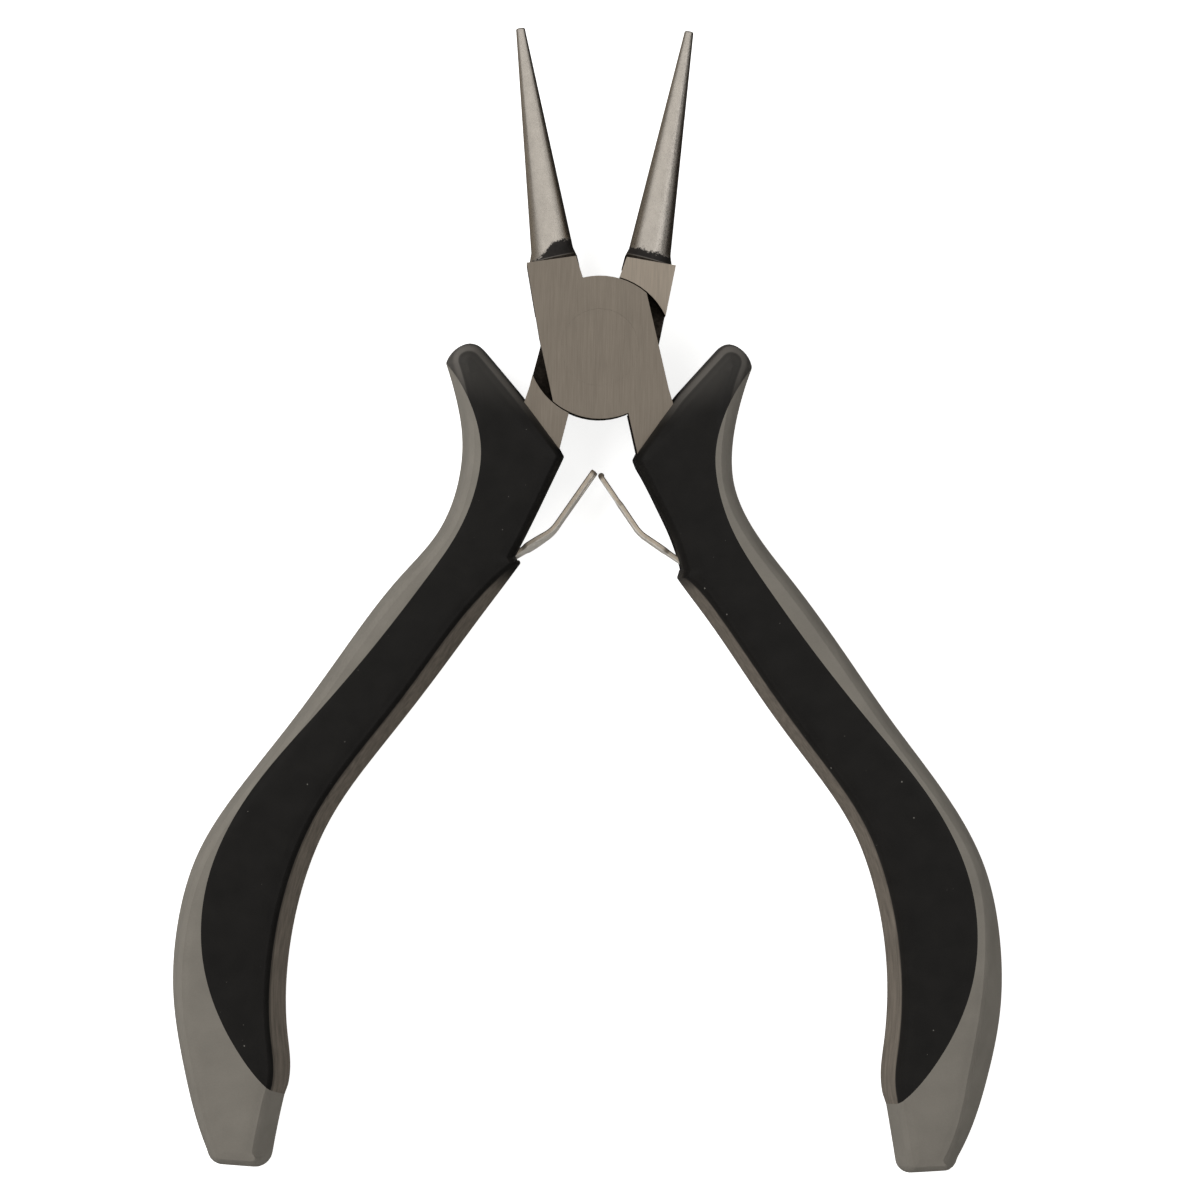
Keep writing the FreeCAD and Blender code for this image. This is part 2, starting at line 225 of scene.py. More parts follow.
def side_shares(points, start_round, end_round):
    """Shares of a side's length: close together near rounded corners, even between."""
    length = along(smooth_curve(points))[-1]
    start = start_round * np.arange(CORNER_STEPS + 1) / CORNER_STEPS
    end = length - end_round * np.arange(CORNER_STEPS, -1, -1) / CORNER_STEPS
    middle_count = max(1, round((length - start_round - end_round) / RING_STEP))
    middle = np.linspace(start_round, length - end_round, middle_count + 1)[1:-1]
    return np.concatenate([start, middle, end]) / length


def round_corners(ring, corners):
    """Replace the points around each corner by a curve."""
    rounded = ring.copy()
    count = len(ring)
    for corner in corners:
        a, b, c = ring[(corner - CORNER_STEPS) % count], ring[corner], ring[(corner + CORNER_STEPS) % count]
        for k in range(-CORNER_STEPS + 1, CORNER_STEPS):
            t = (k + CORNER_STEPS) / (2 * CORNER_STEPS)
            rounded[(corner + k) % count] = a * (1 - t)**2 + 2 * b * t * (1 - t) + c * t * t
    return rounded


def outline_ring(grip, lean_share, roll, shares):
    """One closed ring of the grip at a level."""
    sides = GRIP_SIDES[grip].items()
    loop, distances = [], []
    for name, points in sides:
        for point in points[:-1]:
            loop.append(point)
            distances.append(SIDE_LEAN * lean_share * lean_factor(name, point[1], grip) + roll)
    moved = inset_loop(loop, distances)
    ring, corners = [], []
    index = 0
    for (name, points), share in zip(sides, shares):
        stop = index + len(points) - 1
        side = [moved[k % len(moved)] for k in range(index, stop + 1)]
        corners.append(len(ring))
        ring.extend(at_shares(smooth_curve(side), share)[:-1])
        index = stop
    return round_corners(np.array(ring), corners)


def distance_to_loop(points, loop):
    """Signed distance of each point from a closed loop, positive inside."""
    inside = np.zeros(len(points), bool)
    nearest = np.full(len(points), np.inf)
    px, py = points[:, 0], points[:, 1]
    for (ax, ay), (bx, by) in zip(loop, np.roll(loop, -1, axis=0)):
        dx, dy = bx - ax, by - ay
        t = np.clip(((px - ax) * dx + (py - ay) * dy) / (dx * dx + dy * dy), 0, 1)
        nearest = np.minimum(nearest, (px - ax - t * dx)**2 + (py - ay - t * dy)**2)
        if ay != by:
            inside ^= ((ay > py) != (by > py)) & (px < (bx - ax) * (py - ay) / (by - ay) + ax)
    return np.where(inside, 1, -1) * np.sqrt(nearest)


def cap_points(loop):
    """Points for a face: rows close along the loop, then an even staggered grid."""
    tangent = np.roll(loop, -1, axis=0) - np.roll(loop, 1, axis=0)
    tangent /= np.hypot(*tangent.T)[:, None]
    inward = np.stack([tangent[:, 1], -tangent[:, 0]], 1)
    found = []
    for row in CAP_ROWS:
        points = loop + inward * row
        found.append(points[distance_to_loop(points, loop) > 0.93 * row])
    low, high = loop.min(0), loop.max(0)
    gx, gy = np.meshgrid(*(np.arange(low[k], high[k], CAP_SPACING) for k in (0, 1)))
    gx = gx + (np.arange(gx.shape[0]) % 2)[:, None] * CAP_SPACING / 2
    grid = np.stack([gx.ravel(), gy.ravel()], 1)
    found.append(grid[distance_to_loop(grid, loop) > CAP_ROWS[-1] + CAP_SPACING * 0.6])
    return np.concatenate(found)


def dome_faces(verts, silhouette):
    """Let the faces fall towards their edges: much on the horn, a little elsewhere."""
    away = np.maximum(distance_to_loop(verts[:, :2], silhouette), 0)
    horn = np.array([smoothstep((y + HORN_STARTS[0]) / HORN_STARTS[1]) for y in verts[:, 1]])
    reach = DOME_REACH[0] + DOME_REACH[1] * horn
    drop = DOME_DROP[0] + DOME_DROP[1] * horn
    falloff = 1 - np.array([smoothstep(t) for t in away / reach])
    verts[:, 2] *= 1 - drop * falloff
    return verts


def tube_faces(rings, count):
    """Quads between neighbouring rings of count points each."""
    faces = []
    for base in range(0, (rings - 1) * count, count):
        for i in range(count):
            j = (i + 1) % count
            faces.append((base + i, base + j, base + count + j, base + count + i))
    return faces


def closed_tube(rings, count):
    """The same with both ends closed."""
    return tube_faces(rings, count) + [tuple(range(count)), tuple(range((rings - 1) * count, rings * count))]


def whole_grip(grip):
    """Vertices and faces of one grip, drawn closed: rings up both sides and two softly domed faces."""
    sides = list(GRIP_SIDES[grip].items())
    shares = [side_shares(points, CORNER[sides[i - 1][0]], CORNER[name])
              for i, (name, points) in enumerate(sides)]
    levels = [(-z, lean, roll) for z, lean, roll in reversed(LEVELS[1:])] + LEVELS
    rings = [outline_ring(grip, lean, roll, shares) for _, lean, roll in levels]
    count = len(rings[0])
    verts = np.concatenate([np.column_stack([ring, np.full(count, z)])
                            for ring, (z, _, _) in zip(rings, levels)])
    faces = tube_faces(len(rings), count)

    edge = rings[-1]
    flat = [Vector(point) for point in np.concatenate([edge, cap_points(edge)])]
    around = [(i, (i + 1) % count) for i in range(count)]
    points, _, triangles, originals, _, _ = delaunay_2d_cdt(flat, around, [], 1, 1e-6)
    points = np.array([tuple(point) for point in points])
    away = np.maximum(distance_to_loop(points, edge), 0)
    edge_z = LEVELS[-1][0]
    heights = edge_z + (HALF_THICK - edge_z) * np.array([smoothstep(d / CAP_RISE_REACH) for d in away])
    for sign, ring_start in ((1, (len(rings) - 1) * count), (-1, 0)):
        lookup, extra = [], []
        for i, sources in enumerate(originals):
            border = [source for source in sources if source < count]
            if border:
                lookup.append(ring_start + border[0])
            else:
                lookup.append(len(verts) + len(extra))
                extra.append((*points[i], sign * heights[i]))
        verts = np.concatenate([verts, np.array(extra)])
        faces.extend(tuple(lookup[v] for v in triangle) for triangle in triangles)
    return dome_faces(verts, rings[len(rings) // 2]), faces


# ---- mesh helpers ---------------------------------------------------------------------------------------
WELD_M = 2e-7
FLAT_ANGLE = math.radians(0.4)


def turned(points, angle):
    """Points turned about the rivet's axis."""
    points = np.asarray(points, float)
    c, s = math.cos(angle), math.sin(angle)
    x, y = points[:, 0] * c - points[:, 1] * s, points[:, 0] * s + points[:, 1] * c
    return np.column_stack([x, y, points[:, 2]])


def turn_over(points):
    """From the right handle to the left one: half a turn about the centre line."""
    return np.asarray(points, float) * (-1, 1, -1)


def to_rest(points, left):
    """From the closed drawing to a handle's rest pose."""
    opened = turned(points, HALF_OPEN)
    return turn_over(opened) if left else opened


def to_drawing(points, left):
    """From a handle's rest pose back to the closed drawing."""
    return turned(turn_over(points) if left else points, -HALF_OPEN)


def on_side(points, side):
    """Points drawn for the right side, mirrored when side is -1."""
    return np.asarray(points, float) * (side, 1, 1)


def link_object(name, mesh):
    obj = bpy.data.objects.new(name, mesh)
    bpy.context.scene.collection.objects.link(obj)
    return obj


def new_object(name, verts, faces):
    """A mesh object from millimetre vertices, normals outwards."""
    mesh = bpy.data.meshes.new(name)
    mesh.from_pydata([tuple(v) for v in np.asarray(verts) * MM], [], faces)
    bm = bmesh.new()
    bm.from_mesh(mesh)
    bmesh.ops.recalc_face_normals(bm, faces=bm.faces)
    bm.to_mesh(mesh)
    bm.free()
    return link_object(name, mesh)


def prism(name, outline, half_height, place):
    """A flat outline filled to a height on both sides of mid thickness, then put in place."""
    n = len(outline)
    verts = place([(x, y, z) for z in (-half_height, half_height) for x, y in outline])
    faces = [tuple(range(n)), tuple(range(2 * n - 1, n - 1, -1))]
    faces += [(i, (i + 1) % n, n + (i + 1) % n, n + i) for i in range(n)]
    return new_object(name, verts, faces)


def bake(obj):
    """Replace obj's mesh by what its modifiers give."""
    bpy.context.view_layer.update()
    graph = bpy.context.evaluated_depsgraph_get()
    mesh = bpy.data.meshes.new_from_object(obj.evaluated_get(graph))
    obj.modifiers.clear()
    old = obj.data
    obj.data = mesh
    mesh.name = obj.name
    bpy.data.meshes.remove(old)


def cut(obj, steps):
    """Apply exact booleans (operation, cutter) to obj and keep the result."""
    for operation, cutter in steps:
        modifier = obj.modifiers.new("cut", "BOOLEAN")
        modifier.operation = operation
        modifier.solver = "EXACT"
        modifier.object = cutter
    bake(obj)


def remove(*objects):
    for obj in objects:
        bpy.data.objects.remove(obj)


def shade(obj, sharp_degrees, weighted=False):
    """Smooth shading with hard edges above an angle."""
    for polygon in obj.data.polygons:
        polygon.use_smooth = True
    obj.data.set_sharp_from_angle(angle=math.radians(sharp_degrees))
    if weighted:
        modifier = obj.modifiers.new("normals", "WEIGHTED_NORMAL")
        modifier.keep_sharp = True
        modifier.weight = 100
        bake(obj)


def bevel(obj, width, segments, sharp_degrees):
    modifier = obj.modifiers.new("edge", "BEVEL")
    modifier.width = width * MM
    modifier.segments = segments
    modifier.limit_method = "ANGLE"
    modifier.angle_limit = math.radians(sharp_degrees)
    bake(obj)


def coords(obj):
    co = np.zeros(len(obj.data.vertices) * 3, np.float32)
    obj.data.vertices.foreach_get("co", co)
    return co.reshape(-1, 3).astype(float) / MM


def set_coords(obj, points):
    obj.data.vertices.foreach_set("co", (points * MM).astype(np.float32).ravel())
    obj.data.update()


def store_drawn(obj, marks):
    """Keep three numbers per vertex for the material: its place in the closed drawing, or leaf_marks."""
    attribute = obj.data.attributes.new("drawn", "FLOAT_VECTOR", "POINT")
    attribute.data.foreach_set("vector", np.array(marks, np.float32).ravel())


def clean_copy(node, name):
    """A welded copy of a CAD node's mesh, its flat triangles merged."""
    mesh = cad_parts[node].data.copy()
    mesh.materials.clear()
    bm = bmesh.new()
    bm.from_mesh(mesh)
    bmesh.ops.remove_doubles(bm, verts=bm.verts, dist=WELD_M)
    bmesh.ops.dissolve_limit(bm, angle_limit=FLAT_ANGLE, verts=bm.verts, edges=bm.edges,
                             use_dissolve_boundaries=False)
    bmesh.ops.recalc_face_normals(bm, faces=bm.faces)
    bm.to_mesh(mesh)
    bm.free()
    if "custom_normal" in mesh.attributes:
        mesh.attributes.remove(mesh.attributes["custom_normal"])
    return link_object(name, mesh)


def paint(obj, material):
    obj.data.materials.clear()
    obj.data.materials.append(material)


def stand_in(obj, node, material, body=None):
    """Show obj in place of a CAD node, riding on one body if one is given."""
    paint(obj, material)
    if body:
        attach(obj, body)
    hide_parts(node)


# ---- materials ------------------------------------------------------------------------------------------
class Nodes:
    """Short names for building a node tree. A value is a number, a colour or another node's output."""

    def __init__(self, tree):
        self.tree = tree

    def new(self, kind, **settings):
        node = self.tree.nodes.new("ShaderNode" + kind)
        for key, value in settings.items():
            setattr(node, key, value)
        return node

    def link(self, source, target):
        if isinstance(source, (int, float)):
            target.default_value = source
        elif isinstance(source, tuple):
            target.default_value = source if len(source) == len(target.default_value) else (*source, 1.0)
        else:
            self.tree.links.new(source, target)

    def join(self, node, inputs):
        """Link a value to each named or numbered input."""
        for key, value in inputs.items():
            self.link(value, node.inputs[key])

    def math(self, operation, a, b=0.0):
        node = self.new("Math", operation=operation)
        self.join(node, {0: a, 1: b})
        return node.outputs[0]

    def product(self, a, b):
        return self.math("MULTIPLY", a, b)

    def rest(self, value):
        """1 minus the value."""
        return self.math("SUBTRACT", 1.0, value)

    def swing(self, noise, amount):
        """A noise around 0, at most half the amount either way."""
        return self.product(self.math("SUBTRACT", noise, 0.5), amount)

    def split(self, vector):
        node = self.new("SeparateXYZ")
        self.link(vector, node.inputs[0])
        return tuple(node.outputs)

    def scale(self, vector, factors):
        node = self.new("VectorMath", operation="MULTIPLY")
        self.join(node, {0: vector, 1: factors})
        return node.outputs[0]

    def fit(self, value, low, high, to_low, to_high):
        """The value's place between low and high, moved to between to_low and to_high and held there."""
        node = self.new("MapRange")
        self.join(node, {"Value": value, "From Min": low, "From Max": high,
                         "To Min": to_low, "To Max": to_high})
        return node.outputs["Result"]

    def ramp(self, value, low, high):
        """0 below low and 1 above high, smoothly."""
        node = self.new("MapRange", interpolation_type="SMOOTHSTEP")
        self.join(node, {"Value": value, "From Min": low, "From Max": high})
        return node.outputs["Result"]

    def mix(self, share, a, b):
        """Colour a, going over to colour b by a share."""
        node = self.new("Mix", data_type="RGBA")
        self.join(node, {0: share, 6: a, 7: b})
        return node.outputs[2]

    def mix_value(self, share, a, b):
        node = self.new("Mix", data_type="FLOAT")
        self.join(node, {0: share, 2: a, 3: b})
        return node.outputs[0]

    def tint(self, colour, factor):
        """Colour times a grey factor."""
        node = self.new("VectorMath", operation="SCALE")
        self.join(node, {0: colour, "Scale": factor})
        return node.outputs[0]


class Finish(Nodes):
    """One material: its place in millimetres, how level its surface is, and its shader."""

    def __init__(self, name):
        self.material = bpy.data.materials.new(name)
        self.material.use_nodes = True
        super().__init__(self.material.node_tree)
        self.shader = self.tree.nodes["Principled BSDF"]
        self.place = self.scale(self.new("TexCoord").outputs["Object"], (1 / MM, 1 / MM, 1 / MM))
        self.geometry = self.new("NewGeometry")
        self.up = self.math("ABSOLUTE", self.split(self.geometry.outputs["Normal"])[2])

    def noise(self, scale, detail, stretch=(1, 1, 1), rough=0.5):
        """Noise with features of about 1 / scale millimetres."""
        node = self.new("TexNoise")
        self.join(node, {"Vector": self.scale(self.place, stretch), "Scale": scale, "Detail": float(detail),
                         "Roughness": rough})
        return node.outputs["Fac"]

    def specks(self, scale, size, share):
        """Sparse dots: cells of 1 / scale millimetres, of which a share holds a dot of a relative size."""
        node = self.new("TexVoronoi")
        self.join(node, {"Vector": self.place, "Scale": scale})
        parts = self.new("SeparateColor")
        self.link(node.outputs["Color"], parts.inputs[0])
        chosen = self.math("LESS_THAN", parts.outputs[0], share)
        inside = self.math("LESS_THAN", node.outputs["Distance"], self.product(parts.outputs[1], size))
        return self.product(chosen, inside)

    def drawn(self):
        """The three numbers kept by store_drawn."""
        return self.split(self.new("Attribute", attribute_name="drawn").outputs["Vector"])

    def bumps(self, *layers):
        """Chain bump layers of (height, strength, depth in millimetres)."""
        last = None
        for height, strength, depth in layers:
            node = self.new("Bump")
            self.join(node, {"Strength": strength, "Distance": depth * MM, "Height": height})
            if last:
                self.link(last, node.inputs["Normal"])
            last = node.outputs["Normal"]
        self.link(last, self.shader.inputs["Normal"])

    def done(self, colour, roughness, metallic=0.0, specular=0.5):
        self.join(self.shader, {"Base Color": colour, "Roughness": roughness, "Metallic": metallic,
                                "Specular IOR Level": specular})
        return self.material


GROUND_STEEL = (0.335, 0.29, 0.24)
FORGED_STEEL = (0.055, 0.046, 0.038)
BLACK_SCALE = (0.012, 0.010, 0.009)
# shaded and lit copies of the jaws' satin steel, for painted shade and painted light
SATIN_PAINTED_SHADE, SATIN_PAINTED_LIGHT = (0.50, 0.42, 0.32), (0.60, 0.555, 0.50)
# painted light on the face towards the open middle, the strip's own colour between, painted shade on the face
# towards the handle
NICKEL_PAINTED_LIGHT, NICKEL_MIDDLE, NICKEL_PAINTED_SHADE = (0.95, 0.90, 0.82), (0.66, 0.57, 0.46), (0.13, 0.095, 0.065)
# painted shade where the two tips meet
NICKEL_PAINTED_TIP_SHADE = (0.16, 0.13, 0.095)
# the shot's own black, then the horn's painted sheen and the painted highlight on its rounded edge
RUBBER, HORN_PAINTED_SHEEN, HORN_EDGE_PAINTED_HIGHLIGHT = (0.0095, 0.0088, 0.0080), (0.047, 0.044, 0.040), (0.13, 0.12, 0.108)
# brown of dust and a painted glancing sheen, for the pad's steep sides
PAD_SIDE_DUST_AND_SHEEN = (0.17, 0.145, 0.118)
RUBBER_DUST = (0.22, 0.21, 0.19)
GREY_PLASTIC, GREY_DUST = (0.215, 0.198, 0.170), (0.33, 0.31, 0.27)
PAPER, MIRRORED_PAPER, PAPER_LIGHT = (0.93, 0.93, 0.925), (1.0, 0.95, 0.88), (1.0, 1.0, 0.995)
# places along the closed drawing where a look starts and where it is complete
# where the painted highlight on the rear half's shoulder starts and where it is full
SHOULDER_RISE = (2.0, 8.0)
HORN_RISE = (-10.5, -5.5)
PAD_BELOW = (26.3, 30.0)         # distances below the rivet
JAW_STARTS = 11.15
JAW_FADE = 0.1                   # either way of it
SCALE_INNER_SIDE = (-4.9, -1.9)  # across the drawing, on the front jaw
PLATE_EDGE = 3.9                 # height just below the plates' faces


def ground_colour(g, fine, front, drawn_y):
    """Fine brushing across the tool, and a painted highlight that brightens the rear half's shoulder."""
    broad = g.noise(2.2, 3, (1, 0.05, 0.05), 0.55)
    cloud = g.noise(0.22, 2)
    brush = g.math("ADD", g.swing(fine, 0.5), g.swing(broad, 0.22))
    factor = g.math("ADD", 1.0, g.math("ADD", brush, g.swing(cloud, 0.12)))
    # painted highlight: the rear half's shoulder is tinted up to half again as bright
    painted_shoulder_highlight = g.product(g.rest(front), g.ramp(drawn_y, *SHOULDER_RISE))
    factor = g.product(factor, g.fit(painted_shoulder_highlight, 0.0, 1.0, 1.03, 1.5))
    return g.tint(GROUND_STEEL, factor)


def satin_colour(g, grit):
    """The jaws: blasted, with painted light and shade: paler where they face up, darker on their steep sides.
    """
    blotch = g.noise(1.1, 3, (1, 0.6, 1))
    factor = g.math("ADD", 1.0, g.math("ADD", g.swing(grit, 0.8), g.swing(blotch, 0.3)))
    # painted shade on steep faces, painted light on faces that look up
    return g.tint(g.mix(g.ramp(g.up, 0.15, 0.85), SATIN_PAINTED_SHADE, SATIN_PAINTED_LIGHT), factor)


def scale_patch(g, is_jaw, front, drawn_x, drawn_y):
    """Share of forging scale left at a jaw's root: a ragged edge, further up on the inner side in front."""
    ragged = g.swing(g.noise(2.4, 4, rough=0.7), 1.5)
    front_reach = g.math("ADD", g.product(g.ramp(drawn_x, *SCALE_INNER_SIDE), 1.55), 0.05)
    reach = g.mix_value(front, 0.75, front_reach)
    top = g.math("ADD", JAW_STARTS + JAW_FADE, g.math("ADD", reach, ragged))
    return g.product(is_jaw, g.ramp(g.math("SUBTRACT", top, drawn_y), -0.12, 0.12))


def steel_material():
    g = Finish("ground_steel_finish")
    drawn_x, drawn_y, drawn_z = g.drawn()
    height = g.math("ABSOLUTE", g.split(g.place)[2])
    front = g.math("GREATER_THAN", drawn_z, 0.0)
    fine = g.noise(9.0, 3, (1, 0.035, 0.035), 0.6)
    grit = g.noise(7.0, 4, (1, 0.55, 1), 0.75)
    scale = g.noise(1.6, 4, rough=0.65)

    is_jaw = g.ramp(drawn_y, JAW_STARTS - JAW_FADE, JAW_STARTS + JAW_FADE)
    is_face = g.product(g.ramp(g.up, 0.9, 0.97), g.ramp(height, PLATE_EDGE - 0.05, PLATE_EDGE + 0.03))
    ground = ground_colour(g, fine, front, drawn_y)
    forged = g.tint(FORGED_STEEL, g.fit(scale, 0.25, 0.75, 0.35, 1.7))
    edge = g.ramp(height, PLATE_EDGE - 0.04, PLATE_EDGE + 0.06)
    body = g.mix(is_face, g.mix(edge, forged, g.tint(ground, 0.8)), ground)
    patch = scale_patch(g, is_jaw, front, drawn_x, drawn_y)
    black_scale = g.tint(BLACK_SCALE, g.fit(scale, 0.2, 0.8, 0.5, 2.2))
    colour = g.mix(patch, g.mix(is_jaw, body, satin_colour(g, grit)), black_scale)

    rough = g.mix_value(is_face, 0.62, g.fit(fine, 0.2, 0.8, 0.36, 0.5))
    rough = g.mix_value(is_jaw, rough, g.fit(grit, 0.2, 0.8, 0.22, 0.36))
    rough = g.mix_value(patch, rough, 0.55)
    metallic = g.rest(g.product(patch, 0.75))
    brushed = g.product(is_face, g.rest(is_jaw))
    g.bumps((g.product(fine, brushed), 0.22, 0.02), (g.product(grit, is_jaw), 0.5, 0.035),
            (g.product(scale, g.rest(brushed)), 0.15, 0.05))
    return g.done(colour, rough, metallic)


def spring_material():
    """Nickel strip with painted light and shade: painted shade, dark brown, on the face turned to its own
    handle, painted light, near white, on the face turned to the open middle, and painted shade at the tip.
    """
    g = Finish("spring_steel_finish")
    from_tip, across, _ = g.drawn()
    streak = g.noise(4.0, 3, (1, 1, 0.12), 0.6)
    spots = g.noise(1.4, 3)
    factor = g.math("ADD", 1.0, g.math("ADD", g.swing(streak, 0.4), g.swing(spots, 0.4)))
    # painted light on the face towards the open middle, then painted shade on the face towards the handle
    colour = g.mix(g.ramp(across, -0.9, -0.45), NICKEL_PAINTED_LIGHT, NICKEL_MIDDLE)
    colour = g.mix(g.ramp(across, 0.35, 0.85), colour, NICKEL_PAINTED_SHADE)
    # painted shade over the strip's last 0.1 to 0.6 millimetres, where the tips meet
    painted_tip_shade = g.ramp(g.product(from_tip, -1.0), -0.6, -0.1)
    colour = g.mix(painted_tip_shade, colour, NICKEL_PAINTED_TIP_SHADE)
    g.bumps((streak, 0.25, 0.02))
    return g.done(g.tint(colour, factor), g.fit(streak, 0.2, 0.8, 0.4, 0.55), 0.3)


def rubber_material():
    """Soft black shot with dust and lint. On the horn a painted sheen and a painted highlight along its
    rounded edge; the pad's steep sides paler brown, partly dust and partly a painted glancing sheen.
    """
    g = Finish("black_grip_finish")
    _, drawn_y, _ = g.drawn()
    grain = g.noise(6.0, 4, rough=0.7)
    cloud = g.noise(0.35, 3)
    steep = g.rest(g.up)
    mottle = g.math("ADD", g.fit(grain, 0.2, 0.8, 0.7, 1.3), g.fit(cloud, 0.3, 0.7, -0.18, 0.18))
    colour = g.tint(RUBBER, mottle)

    on_horn = g.ramp(drawn_y, *HORN_RISE)
    # painted sheen: the horn's rubber is lifted paler
    colour = g.mix(g.product(on_horn, 0.8), colour, HORN_PAINTED_SHEEN)
    # painted highlight along the horn's rounded edge, where its surface is neither level nor upright
    rounded_edge = g.product(g.ramp(steep, 0.08, 0.4), g.fit(steep, 0.5, 0.85, 1.0, 0.3))
    colour = g.mix(g.product(on_horn, rounded_edge), colour, HORN_EDGE_PAINTED_HIGHLIGHT)

    # the pad's steep sides below the rivet: streaked brown dust and a painted glancing sheen
    streak = g.noise(1.8, 3, (1, 0.12, 1), 0.6)
    pad_dust_and_sheen = g.tint(PAD_SIDE_DUST_AND_SHEEN, g.fit(streak, 0.25, 0.75, 0.65, 1.3))
    pad_side = g.product(g.ramp(g.product(drawn_y, -1.0), *PAD_BELOW), g.ramp(steep, 0.6, 0.7))
    colour = g.mix(pad_side, colour, pad_dust_and_sheen)

    dust = g.specks(0.75, 0.085, 0.16)
    lint = g.specks(1.6, 0.07, 0.10)
    colour = g.mix(g.product(g.math("MAXIMUM", dust, lint), 0.75), colour, RUBBER_DUST)
    g.bumps((grain, 0.18, 0.03), (cloud, 0.1, 0.2))
    return g.done(colour, g.fit(grain, 0.2, 0.8, 0.42, 0.58), specular=0.2)


def grey_material():
    g = Finish("grey_grip_finish")
    grain = g.noise(5.0, 4, rough=0.7)
    cloud = g.noise(0.25, 3)
    mottle = g.math("ADD", g.fit(grain, 0.2, 0.8, 0.93, 1.07), g.fit(cloud, 0.3, 0.7, -0.07, 0.07))
    colour = g.tint(GREY_PLASTIC, mottle)
    colour = g.mix(g.product(g.specks(0.9, 0.06, 0.12), 0.5), colour, GREY_DUST)
    g.bumps((grain, 0.12, 0.03))
    return g.done(colour, g.fit(grain, 0.2, 0.8, 0.5, 0.62), specular=0.35)


# ---- steel halves and rivet -----------------------------------------------------------------------------
RIVET_GROWTH = 0.026             # fills the running clearance around the front head, so that no ring shows
FRONT_HEAD_ABOVE = 0.2

steel = steel_material()
tang_cutters = {}


def steel_half(node, body, left):
    tang_cutters[body] = clean_copy(node, node + "_cutter")
    half = clean_copy(node, node + "_ground")
    bevel(half, width=0.09, segments=2, sharp_degrees=38)
    shade(half, 40, weighted=True)
    store_drawn(half, to_drawing(coords(half), left))
    stand_in(half, node, steel, body)


def pivot_rivet():
    rivet = clean_copy("pivot_rivet", "pivot_rivet_ground")
    points = coords(rivet)
    radius = np.hypot(points[:, 0], points[:, 1])
    in_front = points[:, 2] > FRONT_HEAD_ABOVE
    points[in_front, :2] *= ((radius + RIVET_GROWTH) / np.maximum(radius, 0.1))[in_front, None]
    set_coords(rivet, points)
    shade(rivet, 32, weighted=True)
    store_drawn(rivet, to_drawing(coords(rivet), False))
    stand_in(rivet, "pivot_rivet", steel, "rear_handle")


steel_half("front_half", "front_handle", False)
steel_half("rear_half", "rear_handle", True)
pivot_rivet()

# ---- leaf springs, drawn at rest for the right side -----------------------------------------------------
LEAF_HINGE = np.array([12.13, -25.63])
LEAF_BEND = np.array([4.94, -20.85])
FORK_END = np.array([0.26, -13.92])
TONGUE_END = np.array([0.36, -14.36])
LEAF_HALF_THICK = 0.275
LEAF_HALF_WIDTH = 1.8
LEAF_BEND_RADIUS = 4.2           # of the strip's middle
LEAF_EDGE_RADIUS = 0.13
LEAF_STEP = 0.16                 # between stations along the strip
BEND_STATIONS = 11
AFTER_BEND = 0.12                # from the bend's end to the next station
FOOT_END_HALF_THICK = 0.12       # at the foot's rounded end
TIP_ROUND, TIP_EDGE_ROUND = 0.05, 0.04   # how much thinner and sharper the strip is at its tip
FOOT_HALF_WIDTH, FOOT_LENGTH, FOOT_WIDENS_IN = 1.2, 4.7, 0.7
TONGUE_HALF_WIDTH, TONGUE_LENGTH, TONGUE_WIDENS_IN = 0.6, 3.3, 0.9
FORK_HALF_GAP, FORK_LENGTH = 0.85, 3.4
FORK_CUTTER_HALF_WIDTH = 1.6
ROLL_RINGS = [(-0.6, 0.24), (-0.54, 0.31), (-0.46, 0.34), (0.46, 0.34), (0.54, 0.31), (0.6, 0.24)]
ROLL_SIDES = 20
ROLL_BACK, ROLL_ASIDE = 0.1, 0.065       # the roll's centre, from the tongue's end
# how far a leaf's edges stand out of square, from where on along the strip, and how much more near the grip
TONGUE_LEAN, FORK_LEAN = 0.05, 0.17
LEAN_STARTS, LEAN_SETTLES, LEAN_LENGTH = 1.0, 6.0, 4.0
LEAN_NEAR_GRIP = 2.1

nickel = spring_material()


def left_of(way):
    return np.array([-way[1], way[0]])


def leaf_line(end):
    """Stations along the bent strip's middle: point, direction and distance from the foot end."""
    first, second = direction(LEAF_HINGE, LEAF_BEND), direction(LEAF_BEND, end)
    turn = math.atan2(first[0] * second[1] - first[1] * second[0], first @ second)
    tangent = LEAF_BEND_RADIUS * math.tan(abs(turn) / 2)
    before, after = LEAF_BEND - first * tangent, LEAF_BEND + second * tangent
    outward = math.copysign(LEAF_BEND_RADIUS, turn)
    centre = before + outward * left_of(first)
    reach = np.hypot(*(before - LEAF_HINGE))
    arc = abs(turn) * LEAF_BEND_RADIUS
    rest = np.hypot(*(end - after))
    stations = [(LEAF_HINGE + first * s, first, s) for s in np.arange(-LEAF_HALF_THICK, reach, LEAF_STEP)]
    for t in np.linspace(0, 1, BEND_STATIONS):
        c, s = math.cos(turn * t), math.sin(turn * t)
        way = np.array([first[0] * c - first[1] * s, first[0] * s + first[1] * c])
        stations.append((centre - outward * left_of(way), way, reach + arc * t))
    for s in np.linspace(AFTER_BEND, rest, round(rest / LEAF_STEP)):
        stations.append((after + second * s, second, reach + arc + s))
    return stations


